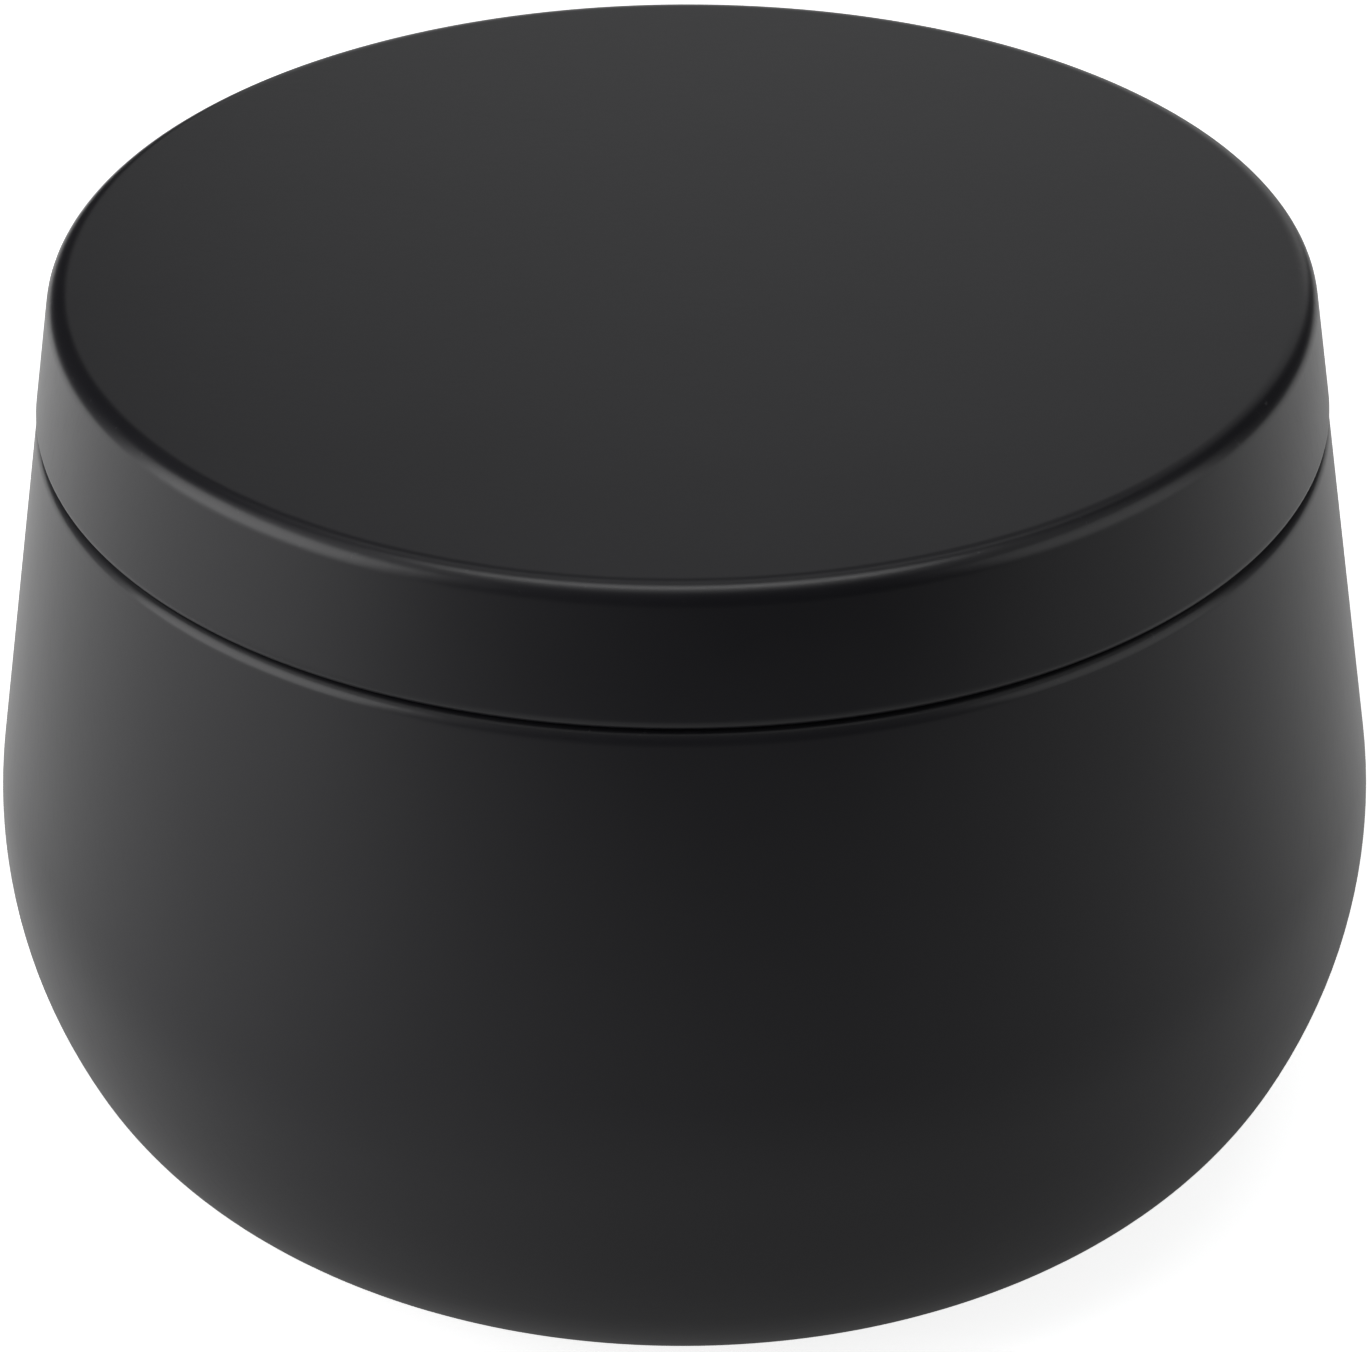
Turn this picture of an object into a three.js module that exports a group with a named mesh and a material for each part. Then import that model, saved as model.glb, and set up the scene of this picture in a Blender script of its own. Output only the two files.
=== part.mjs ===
// Round-bellied candle tin with a flush slip-on lid.
//
// Two pieces of thin sheet metal, each drawn from one blank:
//   tin_body  recessed bottom panel, standing ring, belly, sloping side, shoulder, neck and curled mouth
//   lid       flat top, rounded corner, sloping skirt and inward-turned lower edge
//
// Units are millimetres. +Z is up, and the origin is the centre of the plane that the tin stands on.

import * as THREE from 'three';

// ---------------------------------------------------------------- driving dimensions

const overallHeight = 50.0; // standing plane to the lid's flat top
const bellyRadius = 38.5; // widest point of the body, outside
const sheetGauge = 0.28; // thickness of the tinplate

// Outline of the body, from the standing ring up to the straight side.
const sideSlope = 8.6; // degrees that the side leans in from vertical, on the body and on the lid alike
const bellyArcRadius = 26.5; // round of the belly
const lowerArcRadius = 13.0; // round below the belly
const baseArcRadius = 9.0; // round where the wall turns under
const bellyArcEnd = 25.0; // degrees below level at which the belly round gives way to the lower round
const lowerArcEnd = 50.0; // degrees below level at which the lower round gives way to the base round

// Bottom.
const panelHeight = 0.8; // recess of the bottom panel above the standing plane
const panelRadius = 23.4; // flat part of the bottom panel
const panelStepAngle = 45.0; // slope of the step from panel to standing ring, degrees
const panelUpperBend = 0.6; // bend radii of that step, on the underside
const panelLowerBend = 0.9;

// Shoulder, neck and mouth.
const shoulderHeight = 42.32; // ledge that the lid's lower edge comes down to
const shoulderBend = 0.8; // rounded outer corner of the ledge
const neckRadius = 33.3; // outside of the neck
const neckFillet = 0.5; // inside corner between ledge and neck
const mouthCurlRadius = 0.9; // outside radius of the inward curl at the mouth
const mouthCurlSweep = 290.0; // degrees that the mouth curl turns through

// Lid.
const lidCornerBend = 1.15; // rounded top corner
const lidOverhang = 0.1; // how far the lid's skirt stands out from the line of the body's side
const seamGap = 0.04; // clearance between the ledge and the lid's lower edge
const hemBend = 0.5; // bend radius of the inward-turned lower edge
const hemLip = 0.25; // straight upturned end of that edge
const slipClearance = 0.15; // radial clearance between the turned edge and the neck
const rimClearance = 0.06; // clearance between the mouth curl and the underside of the lid's top

// How finely the solids are faceted.
const turnSegments = 48; // facets around the axis, a multiple of 4
const chordError = 0.03; // largest distance between an arc and its chords

// ---------------------------------------------------------------- derived dimensions

const radians = THREE.MathUtils.degToRad;
const sideLean = radians(sideSlope);
const mouthHeight = overallHeight - sheetGauge - rimClearance;
const hemHeight = shoulderHeight + seamGap;
const hemInnerRadius = neckRadius + slipClearance;

// The three rounds share tangents, so the outer edge of the standing ring follows from them.
const standingRadius =
  bellyRadius -
  bellyArcRadius +
  (bellyArcRadius - lowerArcRadius) * Math.cos(radians(bellyArcEnd)) +
  (lowerArcRadius - baseArcRadius) * Math.cos(radians(lowerArcEnd));

// Height of the widest point, from the same three rounds.
const bellyHeight =
  baseArcRadius +
  (lowerArcRadius - baseArcRadius) * Math.sin(radians(lowerArcEnd)) +
  (bellyArcRadius - lowerArcRadius) * Math.sin(radians(bellyArcEnd));

// Outside radius that the straight sloping side has at a given height. The lid's skirt runs parallel to it.
function sideRadiusAt(height) {
  const tangentRadius = bellyRadius - bellyArcRadius * (1 - Math.cos(sideLean));
  const tangentHeight = bellyHeight + bellyArcRadius * Math.sin(sideLean);
  return tangentRadius - (height - tangentHeight) * Math.tan(sideLean);
}

// ---------------------------------------------------------------- sheet-metal section

// Traces the outside face of a sheet in the half-plane of radius and height, with straight runs and tangent bends,
// and keeps the inside face one gauge away from it. A heading of 0 degrees points away from the axis, 90 points up.
class SheetSection {
  // insideTurn is +1 where the inside face lies to the left of the heading, and -1 where it lies to the right.
  constructor(height, insideTurn) {
    this.point = new THREE.Vector2(0, height);
    this.heading = 0;
    this.insideTurn = insideTurn;
    this.outside = [];
    this.inside = [];
    this.mark();
  }

  // Unit vector at the given angle from the heading.
  direction(turn = 0) {
    const angle = this.heading + turn;
    return new THREE.Vector2(Math.cos(angle), Math.sin(angle));
  }

  mark() {
    const towardsInside = this.direction((this.insideTurn * Math.PI) / 2);
    this.outside.push(this.point.clone());
    this.inside.push(this.point.clone().addScaledVector(towardsInside, sheetGauge));
  }

  run(length) {
    this.point.addScaledVector(this.direction(), length);
    this.mark();
    return this;
  }

  runToRadius(radius) {
    return this.run((radius - this.point.x) / Math.cos(this.heading));
  }

  runToHeight(height) {
    return this.run((height - this.point.y) / Math.sin(this.heading));
  }

  // Bends to the left for positive degrees and to the right for negative, with the given radius on the outside face.
  bend(radius, degrees) {
    const turn = radians(degrees);
    const largestStep = 2 * Math.acos(1 - Math.min(chordError / radius, 0.25));
    const steps = Math.ceil(Math.abs(turn) / largestStep);
    const chord = 2 * radius * Math.sin(Math.abs(turn) / steps / 2);
    for (let i = 0; i < steps; i += 1) {
      this.point.addScaledVector(this.direction(turn / steps / 2), chord);
      this.heading += turn / steps;
      this.mark();
    }
    return this;
  }

  // Closed outline from the axis out along one face and back to the axis along the other, with the metal on its left.
  outline() {
    const loop = [...this.outside, ...this.inside.toReversed()];
    return this.insideTurn > 0 ? loop : loop.reverse();
  }
}

// Turns a section about the Z axis into a closed solid.
function revolve(section) {
  const geometry = new THREE.LatheGeometry(section.outline(), turnSegments);
  geometry.rotateX(Math.PI / 2); // a lathe turns about Y, and the tin stands along Z
  return geometry;
}

// ---------------------------------------------------------------- pieces

function makeTinBody(material) {
  const section = new SheetSection(panelHeight, 1);

  // Recessed panel, stepping down to the standing ring.
  const lowerBendRise = panelLowerBend * (1 - Math.cos(radians(panelStepAngle)));
  section.runToRadius(panelRadius);
  section.bend(panelUpperBend, -panelStepAngle);
  section.runToHeight(lowerBendRise);
  section.bend(panelLowerBend, panelStepAngle);
  section.runToRadius(standingRadius);

  // Belly, in three rounds that grow flatter towards the widest point, and the straight side.
  section.bend(baseArcRadius, 90 - lowerArcEnd);
  section.bend(lowerArcRadius, lowerArcEnd - bellyArcEnd);
  section.bend(bellyArcRadius, bellyArcEnd);
  section.bend(bellyArcRadius, sideSlope);
  section.runToHeight(shoulderHeight - shoulderBend * (1 - Math.sin(sideLean)));

  // Shoulder, ledge and neck.
  section.bend(shoulderBend, 90 - sideSlope);
  section.runToRadius(neckRadius + neckFillet);
  section.bend(neckFillet, -90);
  section.runToHeight(mouthHeight - mouthCurlRadius);

  // The mouth is curled inwards, open on its underside.
  section.bend(mouthCurlRadius, mouthCurlSweep);

  const body = new THREE.Mesh(revolve(section), material);
  body.name = 'tin_body';
  return body;
}

function makeLid(material) {
  const section = new SheetSection(overallHeight, -1);

  // Flat top and its rounded corner, which ends tangent to the sloping skirt.
  const skirtBendStart = overallHeight - lidCornerBend * (1 - Math.sin(sideLean));
  const skirtTopRadius = sideRadiusAt(skirtBendStart) + lidOverhang;
  const cornerCentreRadius = skirtTopRadius - lidCornerBend * Math.cos(sideLean);
  section.runToRadius(cornerCentreRadius);
  section.bend(lidCornerBend, sideSlope - 90);

  // Skirt, parallel to the side of the body, down to the turned edge.
  section.runToHeight(hemHeight + hemBend * (1 + Math.sin(sideLean)));

  // Lower edge, turned in level and then up along the neck.
  section.bend(hemBend, -90 - sideSlope);
  section.runToRadius(hemInnerRadius + hemBend);
  section.bend(hemBend, -90);
  section.run(hemLip);

  const lid = new THREE.Mesh(revolve(section), material);
  lid.name = 'lid';
  return lid;
}

// ---------------------------------------------------------------- assembly

function satinBlack() {
  return new THREE.MeshStandardMaterial({ color: 0x1d1d1f, roughness: 0.45, metalness: 0.1 });
}

const candleTin = new THREE.Group();
candleTin.name = 'candle_tin';
candleTin.add(makeTinBody(satinBlack()));
candleTin.add(makeLid(satinBlack()));

export default candleTin;
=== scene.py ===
"""Visual model of the round-bellied candle tin with its slip-on lid.

Metres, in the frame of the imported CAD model: +Z is up and the tin stands on z = 0.
Each CAD node is one sheet of tinplate, so each is replaced by one fine mesh of that sheet: coated black
on the outside, bare bright tin on the inside, raw steel where the sheet was trimmed.
"""

import math

import bpy
from mathutils import Matrix, Vector


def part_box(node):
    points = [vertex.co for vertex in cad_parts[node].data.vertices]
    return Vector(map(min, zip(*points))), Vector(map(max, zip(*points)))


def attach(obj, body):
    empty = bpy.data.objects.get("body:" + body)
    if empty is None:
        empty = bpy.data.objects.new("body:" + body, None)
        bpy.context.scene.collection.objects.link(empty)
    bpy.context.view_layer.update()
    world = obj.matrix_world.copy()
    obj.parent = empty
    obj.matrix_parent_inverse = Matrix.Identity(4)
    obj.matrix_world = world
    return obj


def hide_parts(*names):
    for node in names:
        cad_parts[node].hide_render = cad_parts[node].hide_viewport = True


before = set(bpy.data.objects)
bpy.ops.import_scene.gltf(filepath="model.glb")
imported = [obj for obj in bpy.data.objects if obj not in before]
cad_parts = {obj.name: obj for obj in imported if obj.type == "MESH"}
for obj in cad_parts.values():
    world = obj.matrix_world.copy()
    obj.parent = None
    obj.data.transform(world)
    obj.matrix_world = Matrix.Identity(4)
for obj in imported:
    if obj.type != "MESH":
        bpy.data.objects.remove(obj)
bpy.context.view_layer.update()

MM = 0.001

# ---------------------------------------------------------------- sizes, from the frame

_, BODY_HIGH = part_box("tin_body")
LID_LOW, LID_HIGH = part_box("lid")

OVERALL_HEIGHT = LID_HIGH.z
MOUTH_HEIGHT = BODY_HIGH.z
HEM_HEIGHT = LID_LOW.z
BELLY_RADIUS = BODY_HIGH.x

# Sheet-metal details, as in the CAD source.
GAUGE = 0.28 * MM
SIDE_SLOPE = math.radians(8.6)
BELLY_ARC, LOWER_ARC, BASE_ARC = 26.5 * MM, 13.0 * MM, 9.0 * MM
BELLY_ARC_END, LOWER_ARC_END = math.radians(25), math.radians(50)
PANEL_HEIGHT, PANEL_RADIUS = 0.8 * MM, 23.4 * MM
PANEL_STEP = math.radians(45)
PANEL_UPPER_BEND, PANEL_LOWER_BEND = 0.6 * MM, 0.9 * MM
SEAM_GAP = 0.04 * MM
SHOULDER_BEND = 0.8 * MM
NECK_RADIUS = 33.3 * MM
NECK_FILLET = 0.5 * MM
MOUTH_CURL = 0.9 * MM
MOUTH_CURL_SWEEP = math.radians(290)
LID_CORNER = 1.15 * MM
LID_OVERHANG = 0.1 * MM
HEM_BEND = 0.5 * MM
HEM_LIP = 0.25 * MM
SLIP_CLEARANCE = 0.15 * MM

SHOULDER_HEIGHT = HEM_HEIGHT - SEAM_GAP
QUARTER = math.pi / 2

# Fineness of the visible meshes.
TURN_STEPS = 288
CHORD_ERROR = 0.003 * MM
LONGEST_RUN = 4 * MM
GUARD = 0.12 * MM  # how far from a bend a straight run gets an extra ring, to keep its shading flat
FEWEST_BEND_STEPS = 4
ON_AXIS = 1e-9  # a ring smaller than this is a single point

COATED, BARE, TRIMMED = 0, 1, 2  # order of the materials on each sheet

# The three rounds share tangents, so the standing ring's outer edge and the widest point follow from them.
STANDING_RADIUS = (
    BELLY_RADIUS
    - BELLY_ARC
    + (BELLY_ARC - LOWER_ARC) * math.cos(BELLY_ARC_END)
    + (LOWER_ARC - BASE_ARC) * math.cos(LOWER_ARC_END)
)
BELLY_HEIGHT = (
    BASE_ARC
    + (LOWER_ARC - BASE_ARC) * math.sin(LOWER_ARC_END)
    + (BELLY_ARC - LOWER_ARC) * math.sin(BELLY_ARC_END)
)


def side_radius(height):
    """Outside radius of the straight sloping side, which the lid's skirt carries on."""
    tangent_radius = BELLY_RADIUS - BELLY_ARC * (1 - math.cos(SIDE_SLOPE))
    tangent_height = BELLY_HEIGHT + BELLY_ARC * math.sin(SIDE_SLOPE)
    return tangent_radius - (height - tangent_height) * math.tan(SIDE_SLOPE)


# ---------------------------------------------------------------- sheet-metal mesh


class SheetSection:
    """Traces the outside face of a sheet in the half-plane of radius and height, with the inside face behind.

    A heading of 0 points away from the axis and a quarter turn points up. inside_turn is +1 where the inside
    face lies to the left of the heading, and -1 where it lies to the right. Wear is how rubbed the coating is,
    from 0 to 1.
    """

    def __init__(self, height, inside_turn):
        self.radius, self.height, self.heading = 0.0, height, 0.0
        self.inside_turn = inside_turn
        self.travelled = 0.0
        self.rings = []
        self.mark(0.0)

    def mark(self, wear):
        inward = self.heading + self.inside_turn * QUARTER
        outside = (self.radius, self.height)
        inside = (self.radius + GAUGE * math.cos(inward), self.height + GAUGE * math.sin(inward))
        self.rings.append({"outside": outside, "inside": inside, "blank": self.travelled, "wear": wear})

    def advance(self, length, turn=0.0):
        self.radius += length * math.cos(self.heading + turn)
        self.height += length * math.sin(self.heading + turn)
        self.travelled += length

    def run(self, length, wear=0.0):
        """Straight on, in rings no further apart than LONGEST_RUN, with a guard ring near each end."""
        stops = [length]
        if length > 3 * GUARD:
            middle = length - 2 * GUARD
            parts = max(1, math.ceil(middle / LONGEST_RUN))
            stops = [GUARD + middle * k / parts for k in range(parts + 1)] + [length]
        done = 0.0
        for stop in stops:
            self.advance(stop - done)
            done = stop
            self.mark(wear)

    def run_to_radius(self, radius, wear=0.0):
        self.run((radius - self.radius) / math.cos(self.heading), wear)

    def run_to_height(self, height, wear=0.0):
        self.run((height - self.height) / math.sin(self.heading), wear)

    def bend(self, radius, turn, wear=0.0):
        """To the left for a positive turn and to the right for a negative one.

        The radius is that of the outside face, and wear is strongest in the middle of the bend.
        """
        largest_step = 2 * math.acos(1 - CHORD_ERROR / radius)
        steps = max(FEWEST_BEND_STEPS, math.ceil(abs(turn) / largest_step))
        chord = 2 * radius * math.sin(abs(turn) / steps / 2)
        for k in range(1, steps + 1):
            self.advance(chord, turn / steps / 2)
            self.heading += turn / steps
            self.mark(wear * math.sin(math.pi * k / steps))


def outline(section):
    """Rings out along the outside face and back along the inside one, and the material between each two.

    A ring is its radius, its height, its distance from the centre of the flat blank, and its wear.
    """
    rings = [(*r["outside"], r["blank"], r["wear"]) for r in section.rings]
    rings += [(*r["inside"], r["blank"], 0.0) for r in reversed(section.rings)]
    bands_on_a_face = len(section.rings) - 1
    materials = [COATED] * bands_on_a_face + [TRIMMED] + [BARE] * bands_on_a_face
    return rings, materials


def sheet_mesh(name, section):
    """Turns the section about the axis into a closed mesh.

    Its UV map is the layout of the flat blank, and its wear attribute is for the coating.
    """
    rings, materials = outline(section)
    vertices, wear, first = [], [], []
    for radius, height, _, worn in rings:
        first.append(len(vertices))
        count = 1 if radius < ON_AXIS else TURN_STEPS
        for j in range(count):
            angle = 2 * math.pi * j / TURN_STEPS
            vertices.append((radius * math.cos(angle), radius * math.sin(angle), height))
            wear.append(worn)

    def corner(ring, j):
        radius = rings[ring][0]
        return first[ring] if radius < ON_AXIS else first[ring] + j % TURN_STEPS

    def blank_place(ring, j):
        from_centre = rings[ring][2]
        angle = 2 * math.pi * j / TURN_STEPS
        return from_centre * math.cos(angle), from_centre * math.sin(angle)

    faces, layout, face_material = [], [], []
    for ring, material in enumerate(materials):
        for j in range(TURN_STEPS):
            walk = [(ring, j), (ring, j + 1), (ring + 1, j + 1), (ring + 1, j)]
            if section.inside_turn < 0:
                walk.reverse()
            face, place = [], []
            for at in walk:
                if corner(*at) not in face:
                    face.append(corner(*at))
                    place.append(blank_place(*at))
            faces.append(face)
            layout.extend(place)
            face_material.append(material)

    mesh = bpy.data.meshes.new(name)
    mesh.from_pydata(vertices, [], faces)
    mesh.polygons.foreach_set("material_index", face_material)
    mesh.polygons.foreach_set("use_smooth", [True] * len(faces))
    blank = mesh.uv_layers.new(name="Blank")
    blank.data.foreach_set("uv", [value for place in layout for value in place])
    mesh.attributes.new("wear", "FLOAT", "POINT").data.foreach_set("value", wear)

    trimmed_ring = materials.index(TRIMMED)
    sharp = set()
    for ring in (trimmed_ring, trimmed_ring + 1):
        for j in range(TURN_STEPS):
            sharp.add(frozenset((corner(ring, j), corner(ring, j + 1))))
    for edge in mesh.edges:
        edge.use_edge_sharp = frozenset(edge.vertices) in sharp
    mesh.update()
    return mesh


def add_piece(name, section, node, body, materials):
    mesh = sheet_mesh(name, section)
    for material in materials:
        mesh.materials.append(material)
    piece = bpy.data.objects.new(name, mesh)
    bpy.context.scene.collection.objects.link(piece)
    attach(piece, body)
    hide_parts(node)
    return piece


# ---------------------------------------------------------------- the two sheets


def body_section():
    section = SheetSection(PANEL_HEIGHT, 1)
    section.run_to_radius(PANEL_RADIUS)
    section.bend(PANEL_UPPER_BEND, -PANEL_STEP)
    section.run_to_height(PANEL_LOWER_BEND * (1 - math.cos(PANEL_STEP)))
    section.bend(PANEL_LOWER_BEND, PANEL_STEP, wear=0.6)
    section.run_to_radius(STANDING_RADIUS, wear=1.0)
    section.bend(BASE_ARC, QUARTER - LOWER_ARC_END)
    section.bend(LOWER_ARC, LOWER_ARC_END - BELLY_ARC_END)
    section.bend(BELLY_ARC, BELLY_ARC_END)
    section.bend(BELLY_ARC, SIDE_SLOPE)
    section.run_to_height(SHOULDER_HEIGHT - SHOULDER_BEND * (1 - math.sin(SIDE_SLOPE)))
    section.bend(SHOULDER_BEND, QUARTER - SIDE_SLOPE, wear=0.25)
    section.run_to_radius(NECK_RADIUS + NECK_FILLET)
    section.bend(NECK_FILLET, -QUARTER)
    section.run_to_height(MOUTH_HEIGHT - MOUTH_CURL, wear=0.25)
    section.bend(MOUTH_CURL, MOUTH_CURL_SWEEP, wear=0.8)
    return section


def lid_section():
    section = SheetSection(OVERALL_HEIGHT, -1)
    skirt_start = OVERALL_HEIGHT - LID_CORNER * (1 - math.sin(SIDE_SLOPE))
    section.run_to_radius(side_radius(skirt_start) + LID_OVERHANG - LID_CORNER * math.cos(SIDE_SLOPE))
    section.bend(LID_CORNER, SIDE_SLOPE - QUARTER, wear=0.3)
    section.run_to_height(HEM_HEIGHT + HEM_BEND * (1 + math.sin(SIDE_SLOPE)))
    section.bend(HEM_BEND, -QUARTER - SIDE_SLOPE, wear=0.35)
    section.run_to_radius(NECK_RADIUS + SLIP_CLEARANCE + HEM_BEND)
    section.bend(HEM_BEND, -QUARTER, wear=0.6)
    section.run(HEM_LIP)
    return section


# ---------------------------------------------------------------- materials


# Sockets, by number, of a Mix node that is set to colours.
MIX_SHARE, MIX_COLOUR_A, MIX_COLOUR_B, MIX_RESULT = 0, 6, 7, 2


class Nodes:
    """Shorthand for building the node tree of a material or a world.

    `add` and `metal` return a node, and the methods for places, patterns and sums return an output.
    """

    def __init__(self, owner):
        owner.use_nodes = True
        self.tree = owner.node_tree
        self.tree.nodes.clear()

    def add(self, kind, settings=None, **inputs):
        """Inputs go by socket name, with _ for a space, and are numbers or outputs to link."""
        node = self.tree.nodes.new(kind)
        for key, value in (settings or {}).items():
            setattr(node, key, value)
        for key, value in inputs.items():
            self.set(node, key.replace("_", " "), value)
        return node

    def set(self, node, socket, value):
        if isinstance(value, bpy.types.NodeSocket):
            self.tree.links.new(value, node.inputs[socket])
        else:
            node.inputs[socket].default_value = value

    def object_place(self):
        return self.add("ShaderNodeTexCoord").outputs["Object"]

    def blank_place(self):
        return self.add("ShaderNodeUVMap", {"uv_map": "Blank"}).outputs["UV"]

    def stretched(self, vector, scale, turn=0.0):
        """Coordinates for a pattern that is drawn out along the axes whose scale is small."""
        node = self.add("ShaderNodeMapping", Vector=vector)
        node.inputs["Scale"].default_value = scale
        node.inputs["Rotation"].default_value = (0.0, 0.0, turn)
        return node.outputs["Vector"]

    def noise(self, vector, size, detail=2.0, roughness=0.5):
        """Noise whose features are about `size` metres across."""
        node = self.add("ShaderNodeTexNoise", Vector=vector, Detail=detail, Roughness=roughness)
        node.inputs["Scale"].default_value = 1.0 / size
        return node.outputs["Fac"]

    def remap(self, value, source, target=(0.0, 1.0)):
        """Takes the source range to the target range, and keeps to the target's ends outside it."""
        node = self.add("ShaderNodeMapRange", {"clamp": True}, Value=value)
        node.inputs["From Min"].default_value, node.inputs["From Max"].default_value = source
        node.inputs["To Min"].default_value, node.inputs["To Max"].default_value = target
        return node.outputs["Result"]

    def math(self, operation, a, b):
        node = self.add("ShaderNodeMath", {"operation": operation})
        self.set(node, 0, a)
        self.set(node, 1, b)
        return node.outputs["Value"]

    def soft_step(self, value, width, height):
        """Swings smoothly from -height to +height as the value passes through zero."""
        ratio = self.math("DIVIDE", value, width)
        return self.math("MULTIPLY", self.math("TANH", ratio, 0.0), height)

    def blend_colour(self, share, a, b):
        node = self.add("ShaderNodeMix", {"data_type": "RGBA"})
        self.set(node, MIX_SHARE, share)
        self.set(node, MIX_COLOUR_A, a)
        self.set(node, MIX_COLOUR_B, b)
        return node.outputs[MIX_RESULT]

    def bump(self, height, depth, normal=None):
        """Bump whose height of 0 to 1 spans `depth` metres."""
        node = self.add("ShaderNodeBump", Height=height)
        node.inputs["Strength"].default_value = 1.0
        node.inputs["Distance"].default_value = depth
        if normal is not None:
            self.set(node, "Normal", normal)
        return node.outputs["Normal"]

    def metal(self, colour, roughness, normal):
        shader = self.add("ShaderNodeBsdfPrincipled", Base_Color=colour, Roughness=roughness, Normal=normal)
        shader.inputs["Metallic"].default_value = 1.0
        return shader

    def finish(self, shader):
        out = self.add("ShaderNodeOutputMaterial")
        self.tree.links.new(shader.outputs[0], out.inputs["Surface"])


BLACK = (0.0093, 0.0091, 0.0118, 1.0)
BLACK_DUSTY = (0.0122, 0.0120, 0.0150, 1.0)
RUBBED_BLACK = (0.030, 0.030, 0.032, 1.0)
STEEL_SHOWING = (0.32, 0.32, 0.33, 1.0)
RUBBED_SHARE, STEEL_SHARE = 0.3, 0.35  # how much of those two shows at full wear
ROUGHNESS_SPREAD = 0.02  # how far cloudiness moves the roughness to either side of its average
SCUFF_ROUGHNESS = 0.05  # what the deepest scuffs add
RUBBED_POLISH = 0.05  # what full rubbing takes away
SKIN_ROUGHNESS = 0.2


def black_coating(name, average_roughness, specular, skin):
    """Satin black lacquer: faint cloudiness, fine orange peel, a soft grain, scuffs, and rubbed bends.

    Skin is the strength of its smoother top layer, which shows most at grazing angles.
    """
    material = bpy.data.materials.new(name)
    nodes = Nodes(material)
    place = nodes.object_place()

    clouds = nodes.noise(place, size=14 * MM, detail=3.0)
    grain = nodes.noise(place, size=0.09 * MM, detail=2.0)
    peel = nodes.noise(place, size=0.55 * MM, detail=1.0)
    ripple = nodes.noise(place, size=9 * MM, detail=1.0)
    handling = nodes.stretched(nodes.blank_place(), (1.0, 9.0, 1.0), turn=0.6)
    scuffs = nodes.noise(handling, size=2.2 * MM, detail=4.0, roughness=0.65)

    # Wear shows as rubbed patches, and as nicks down to the steel.
    wear = nodes.add("ShaderNodeAttribute", {"attribute_name": "wear"}).outputs["Fac"]
    patches = nodes.remap(nodes.noise(place, size=2.4 * MM, detail=5.0, roughness=0.6), (0.40, 0.66))
    rubbed = nodes.math("MULTIPLY", wear, patches)
    nicks = nodes.remap(nodes.noise(place, size=0.5 * MM, detail=3.0), (0.70, 0.76))
    nicked = nodes.math("MULTIPLY", nodes.math("MULTIPLY", wear, nicks), STEEL_SHARE)

    colour = nodes.blend_colour(nodes.remap(clouds, (0.3, 0.7)), BLACK, BLACK_DUSTY)
    colour = nodes.blend_colour(nodes.math("MULTIPLY", rubbed, RUBBED_SHARE), colour, RUBBED_BLACK)
    colour = nodes.blend_colour(nicked, colour, STEEL_SHOWING)

    cloudy = (average_roughness - ROUGHNESS_SPREAD, average_roughness + ROUGHNESS_SPREAD)
    roughness = nodes.remap(clouds, (0.25, 0.75), cloudy)
    roughness = nodes.math("ADD", roughness, nodes.remap(scuffs, (0.52, 0.80), (0.0, SCUFF_ROUGHNESS)))
    roughness = nodes.math("SUBTRACT", roughness, nodes.math("MULTIPLY", rubbed, RUBBED_POLISH))

    normal = nodes.bump(ripple, depth=0.010 * MM)
    normal = nodes.bump(peel, depth=0.0016 * MM, normal=normal)
    normal = nodes.bump(grain, depth=0.0008 * MM, normal=normal)

    shader = nodes.add("ShaderNodeBsdfPrincipled", Base_Color=colour, Roughness=roughness, Normal=normal)
    shader.inputs["IOR"].default_value = 1.5
    shader.inputs["Specular IOR Level"].default_value = specular
    shader.inputs["Coat Weight"].default_value = skin
    shader.inputs["Coat Roughness"].default_value = SKIN_ROUGHNESS
    nodes.finish(shader)
    return material


TIN_BRIGHT = (0.87, 0.868, 0.86, 1.0)
TIN_DULL = (0.78, 0.778, 0.77, 1.0)
TIN_ROUGHNESS = (0.30, 0.40)  # smoothest and roughest parts of the rolling grain
SPANGLE_SIZE = 2.6 * MM
CRYSTAL_ROUGHNESS = 0.03  # what the dullest crystals of the tin add
MARK_ROUGHNESS = 0.12  # what the strongest handling marks add


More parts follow.
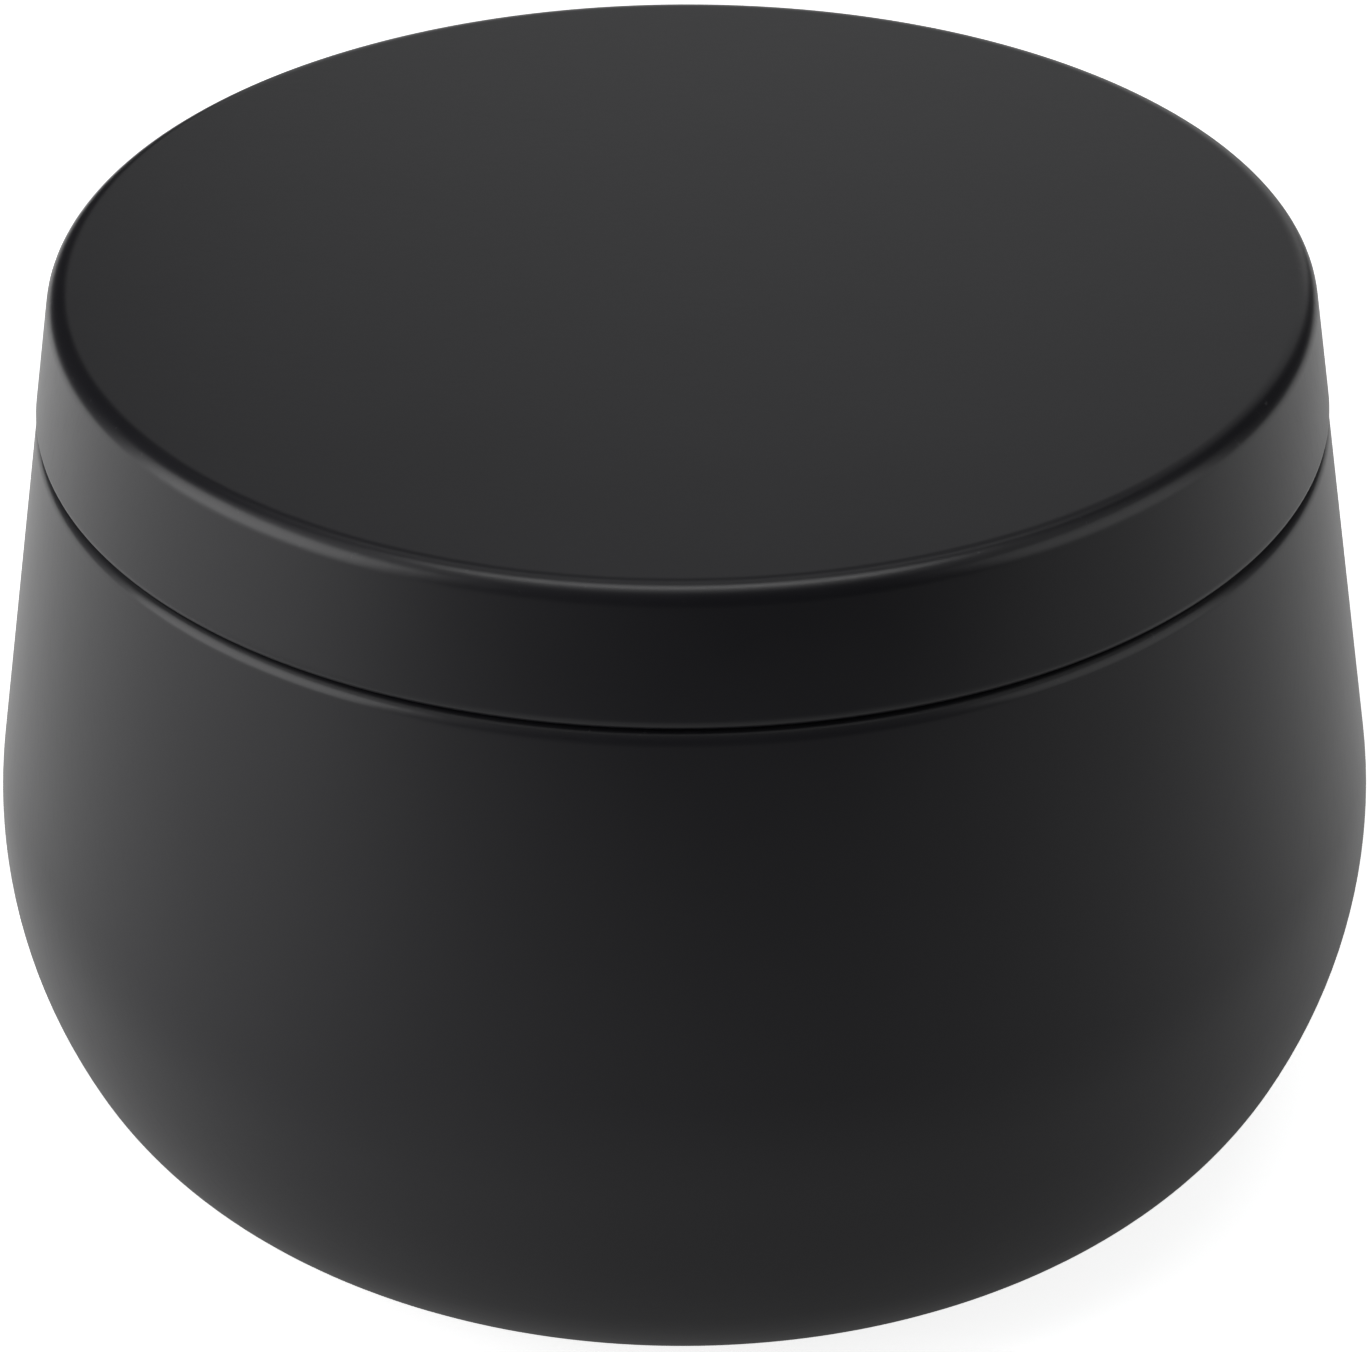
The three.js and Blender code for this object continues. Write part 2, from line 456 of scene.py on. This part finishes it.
def bare_tinplate():
    """Bright tinplate with the rolling grain of the blank it was drawn from, and faint handling marks."""
    material = bpy.data.materials.new("bright_tinplate")
    nodes = Nodes(material)
    place = nodes.object_place()
    blank = nodes.blank_place()

    fine_grain = nodes.stretched(blank, (0.03, 1.0, 1.0))
    rolling = nodes.noise(fine_grain, size=0.10 * MM, detail=3.0, roughness=0.6)
    broad_grain = nodes.stretched(blank, (0.06, 1.0, 1.0))
    streaks = nodes.noise(broad_grain, size=1.6 * MM, detail=2.0)
    spangle = nodes.add("ShaderNodeTexVoronoi", Vector=place)
    spangle.inputs["Scale"].default_value = 1.0 / SPANGLE_SIZE
    crystal = nodes.add("ShaderNodeSeparateColor", Color=spangle.outputs["Color"]).outputs["Red"]
    handling = nodes.stretched(blank, (0.25, 2.0, 1.0), turn=0.9)
    marks = nodes.noise(handling, size=1.2 * MM, detail=4.0, roughness=0.7)
    waviness = nodes.noise(place, size=7 * MM, detail=1.0)

    colour = nodes.blend_colour(nodes.remap(streaks, (0.3, 0.7)), TIN_BRIGHT, TIN_DULL)
    roughness = nodes.remap(rolling, (0.2, 0.8), TIN_ROUGHNESS)
    roughness = nodes.math("ADD", roughness, nodes.math("MULTIPLY", crystal, CRYSTAL_ROUGHNESS))
    roughness = nodes.math("ADD", roughness, nodes.remap(marks, (0.60, 0.85), (0.0, MARK_ROUGHNESS)))
    normal = nodes.bump(rolling, depth=0.0008 * MM)
    normal = nodes.bump(waviness, depth=0.020 * MM, normal=normal)

    nodes.finish(nodes.metal(colour, roughness, normal))
    return material


SHEARED_DARK = (0.30, 0.29, 0.28, 1.0)
SHEARED_BRIGHT = (0.46, 0.45, 0.44, 1.0)
SHEARED_ROUGHNESS = (0.42, 0.62)


def trimmed_edge():
    """Raw sheared steel, seen only on the end of the sheet."""
    material = bpy.data.materials.new("sheared_steel")
    nodes = Nodes(material)
    shear = nodes.noise(nodes.stretched(nodes.object_place(), (1.0, 1.0, 0.2)), size=0.12 * MM, detail=3.0)
    colour = nodes.blend_colour(shear, SHEARED_DARK, SHEARED_BRIGHT)
    roughness = nodes.remap(shear, (0.2, 0.8), SHEARED_ROUGHNESS)
    normal = nodes.bump(shear, depth=0.01 * MM)
    nodes.finish(nodes.metal(colour, roughness, normal))
    return material


# ---------------------------------------------------------------- studio

# The camera stands at a distance and elevation from a point on the axis just above the seam. It looks down a
# little more steeply than that, which puts the tin in the middle of the picture.
CAMERA_PIVOT_HEIGHT = HEM_HEIGHT + 0.24 * MM
CAMERA_DISTANCE = 8.0 * BELLY_RADIUS
CAMERA_ELEVATION = math.radians(28.69)
CAMERA_PITCH = math.radians(31.63)
CAMERA_ROLL = math.radians(0.29)
CAMERA_LENS = 148.4
SENSOR_WIDTH = 36.0


def make_camera():
    pivot = Vector((0.0, 0.0, CAMERA_PIVOT_HEIGHT))
    data = bpy.data.cameras.new("camera")
    data.lens = CAMERA_LENS
    data.sensor_width = SENSOR_WIDTH
    data.clip_start = 0.01
    data.clip_end = 20.0
    camera = bpy.data.objects.new("camera", data)
    towards_camera = Vector((0.0, -math.cos(CAMERA_ELEVATION), math.sin(CAMERA_ELEVATION)))
    camera.location = pivot + CAMERA_DISTANCE * towards_camera
    tilt = Matrix.Rotation(QUARTER - CAMERA_PITCH, 4, "X")
    roll = Matrix.Rotation(-CAMERA_ROLL, 4, "Z")
    camera.rotation_euler = (tilt @ roll).to_euler()
    bpy.context.scene.collection.objects.link(camera)
    bpy.context.scene.camera = camera


AIM_HEIGHT = 0.6 * OVERALL_HEIGHT
SOFTBOX_DISTANCE = 0.5
WATTS_PER_AREA = 4  # power of a softbox of brightness 1, in watts per square metre

# The panel behind the tin, in three parts: name, elevation, height and brightness.
BACK_DISTANCE, BACK_AZIMUTH, BACK_WIDTH = 0.6, 10, 0.44
BACK_PANELS = (("low", 10, 0.20, 0.59), ("middle", 28, 0.16, 0.27), ("high", 47, 0.20, 0.085))


def softbox(name, azimuth, elevation, size, brightness, distance=SOFTBOX_DISTANCE):
    """Area light facing the tin. Its size is a width and a height.

    An azimuth of 0 degrees is behind the tin, 90 at its right, and 180 at the camera's side.
    """
    centre = Vector((0.0, 0.0, AIM_HEIGHT))
    around, up = math.radians(azimuth), math.radians(elevation)
    away = Vector((math.sin(around) * math.cos(up), math.cos(around) * math.cos(up), math.sin(up)))
    data = bpy.data.lights.new(name, "AREA")
    data.shape = "RECTANGLE"
    data.size, data.size_y = size
    data.energy = WATTS_PER_AREA * brightness * size[0] * size[1]
    light = bpy.data.objects.new(name, data)
    light.location = centre + away * distance
    light.rotation_euler = away.to_track_quat("Z", "Y").to_euler()
    light.visible_camera = False
    bpy.context.scene.collection.objects.link(light)
    return light


DISC_CORNERS = 96


def stage_disc(name, radius, height, material):
    mesh = bpy.data.meshes.new(name)
    angles = [2 * math.pi * k / DISC_CORNERS for k in range(DISC_CORNERS)]
    corners = [(radius * math.cos(angle), radius * math.sin(angle), height) for angle in angles]
    mesh.from_pydata(corners, [], [list(range(DISC_CORNERS))])
    mesh.materials.append(material)
    disc = bpy.data.objects.new(name, mesh)
    bpy.context.scene.collection.objects.link(disc)
    return disc


PAPER_WHITE = (0.85, 0.85, 0.85, 1.0)
PAPER_OFF_WHITE = (0.83, 0.83, 0.83, 1.0)
PAPER_GLOW = 0.85


def pale_paper():
    """White paper that also glows, so that it stays white away from the lights.

    From below it is clear, so that the bottom of the tin can be seen.
    """
    material = bpy.data.materials.new("pale_paper")
    nodes = Nodes(material)
    cloud = nodes.noise(nodes.object_place(), size=60 * MM, detail=3.0)
    tint = nodes.blend_colour(cloud, PAPER_WHITE, PAPER_OFF_WHITE)
    shader = nodes.add("ShaderNodeBsdfPrincipled", Base_Color=tint, Roughness=0.9)
    shader.inputs["Specular IOR Level"].default_value = 0.0
    shader.inputs["Emission Color"].default_value = (1.0, 1.0, 1.0, 1.0)
    shader.inputs["Emission Strength"].default_value = PAPER_GLOW
    seen_from_below = nodes.add("ShaderNodeNewGeometry").outputs["Backfacing"]
    one_sided = nodes.add("ShaderNodeMixShader", Fac=seen_from_below)
    nodes.set(one_sided, 1, shader.outputs[0])
    nodes.set(one_sided, 2, nodes.add("ShaderNodeBsdfTransparent").outputs[0])
    nodes.finish(one_sided)
    return material


# The card glows. The light of the softboxes on a table and the tin's shadow are painted into that glow.
CARD_GLOW = 0.57
LEFT_GAIN = 0.09  # painted light from the left softbox: brighter by this on the left, dimmer by it on the right
LEFT_SOFTNESS = 35 * MM  # how gradual that change is
FRONT_LOSS = 0.19  # painted shade: dimmer by this in front, brighter by it behind
FRONT_SOFTNESS = 62 * MM  # how gradual that change is
CARD_FRONT = (148 * MM, 193 * MM)  # where the card fades out towards the camera
SHADE_GLOW = 0.25  # share of the glow that is left under the tin, a painted shadow
SHADE_REACH = (28 * MM, 55 * MM)  # where the painted shadow of the tin fades out
SHADE_DRIFT = 4 * MM  # how far the painted shadow of the tin is drawn to the right, away from the stronger softbox
SPILL_GLOW = 0.33  # painted light: extra glow where the left softbox stands near the table
SPILL_START = (60 * MM, 250 * MM)  # where, to the left, the extra glow grows
SPILL_END = (300 * MM, 500 * MM)  # where, further to the left, it fades


def graded_card():
    """Glowing card that the tin mirrors in place of the table, with light and shade painted into its glow:
    brightest by the left softbox, painted shade in front, and a painted shadow of the tin under it.
    """
    material = bpy.data.materials.new("graded_card")
    nodes = Nodes(material)
    place = nodes.object_place()
    axes = nodes.add("ShaderNodeSeparateXYZ", Vector=place).outputs
    to_the_left = nodes.math("MULTIPLY", axes["X"], -1.0)
    to_the_front = nodes.math("MULTIPLY", axes["Y"], -1.0)
    shade = nodes.add("ShaderNodeVectorMath", {"operation": "DISTANCE"}, Vector=place)
    shade.inputs[1].default_value = (SHADE_DRIFT, 0.0, 0.0)
    from_painted_shadow = shade.outputs["Value"]

    # Painted light from the left softbox, and painted shade in front.
    sideways = nodes.soft_step(to_the_left, LEFT_SOFTNESS, LEFT_GAIN)
    lengthways = nodes.soft_step(to_the_front, FRONT_SOFTNESS, -FRONT_LOSS)
    glow = nodes.math("ADD", sideways, lengthways)
    glow = nodes.math("ADD", glow, CARD_GLOW)
    # Painted shadow of the tin, drawn a little to the right.
    glow = nodes.math("MULTIPLY", glow, nodes.remap(from_painted_shadow, SHADE_REACH, (SHADE_GLOW, 1.0)))
    glow = nodes.math("MULTIPLY", glow, nodes.remap(to_the_front, CARD_FRONT, (1.0, 0.0)))

    # Painted light where the left softbox stands near the table.
    nearing_softbox = nodes.remap(to_the_left, SPILL_START, (0.0, SPILL_GLOW))
    past_softbox = nodes.remap(to_the_left, SPILL_END, (0.0, SPILL_GLOW))
    painted_spill = nodes.math("SUBTRACT", nearing_softbox, past_softbox)
    shader = nodes.add("ShaderNodeEmission", Strength=nodes.math("ADD", glow, painted_spill))
    nodes.finish(shader)
    return material


ROOM_GLOW = 0.023


def studio_room():
    """A dark room around the tin, which the camera sees as pale as the paper, beyond the paper's edge."""
    world = bpy.data.worlds.new("studio_room")
    nodes = Nodes(world)
    to_camera = nodes.add("ShaderNodeLightPath").outputs["Is Camera Ray"]
    strength = nodes.remap(to_camera, (0.0, 1.0), (ROOM_GLOW, PAPER_GLOW))
    room = nodes.add("ShaderNodeBackground", Color=(1.0, 1.0, 1.0, 1.0), Strength=strength)
    out = nodes.add("ShaderNodeOutputWorld")
    nodes.tree.links.new(room.outputs[0], out.inputs["Surface"])
    return world


PAPER_RADIUS, PAPER_HEIGHT = 3.0, -0.02 * MM
CARD_RADIUS, CARD_HEIGHT = 0.6, -0.1 * MM


def make_studio():
    # The camera sees white paper, and only the camera does. It lies just clear of the standing ring.
    paper = stage_disc("floor", PAPER_RADIUS, PAPER_HEIGHT, pale_paper())
    paper.visible_glossy = False
    paper.visible_diffuse = False
    paper.visible_shadow = False

    # The tin mirrors a glowing graded card in the paper's place, with the table's light and the tin's shadow
    # painted into its glow.
    card = stage_disc("graded_card", CARD_RADIUS, CARD_HEIGHT, graded_card())
    card.visible_camera = False
    card.visible_shadow = False

    # A softbox at each side, with a dimmer panel above it.
    softbox("left_softbox", azimuth=-105, elevation=17, size=(0.46, 0.40), brightness=2.15)
    softbox("left_upper_panel", azimuth=-105, elevation=50, size=(0.35, 0.16), brightness=0.41)
    softbox("right_softbox", azimuth=105, elevation=15, size=(0.42, 0.36), brightness=0.74)
    softbox("right_upper_panel", azimuth=105, elevation=48, size=(0.35, 0.16), brightness=0.24)

    # One overhead in four strips, brightest just in front of the tin.
    softbox("overhead_softbox", azimuth=180, elevation=79, size=(0.45, 0.075), brightness=3.19)
    softbox("overhead_middle", azimuth=180, elevation=87.5, size=(0.45, 0.075), brightness=1.48)
    softbox("overhead_front_edge", azimuth=180, elevation=66, size=(0.45, 0.15), brightness=0.43)
    softbox("overhead_back_edge", azimuth=0, elevation=67, size=(0.45, 0.075), brightness=0.87)

    # A panel behind, in three parts that dim upwards.
    for level, elevation, height, brightness in BACK_PANELS:
        size = (BACK_WIDTH, height)
        softbox("back_panel_" + level, BACK_AZIMUTH, elevation, size, brightness, BACK_DISTANCE)

    bpy.context.scene.world = studio_room()
    bpy.context.scene.view_settings.view_transform = "Standard"


# ---------------------------------------------------------------- build

make_camera()
make_studio()

inside_materials = [bare_tinplate(), trimmed_edge()]
body_coating = black_coating("body_coating", average_roughness=0.42, specular=0.32, skin=0.35)
lid_coating = black_coating("lid_coating", average_roughness=0.32, specular=0.5, skin=0.0)
body_materials = [body_coating] + inside_materials
lid_materials = [lid_coating] + inside_materials
add_piece("tin_body_sheet", body_section(), "tin_body", "tin", body_materials)
add_piece("lid_sheet", lid_section(), "lid", "lid", lid_materials)
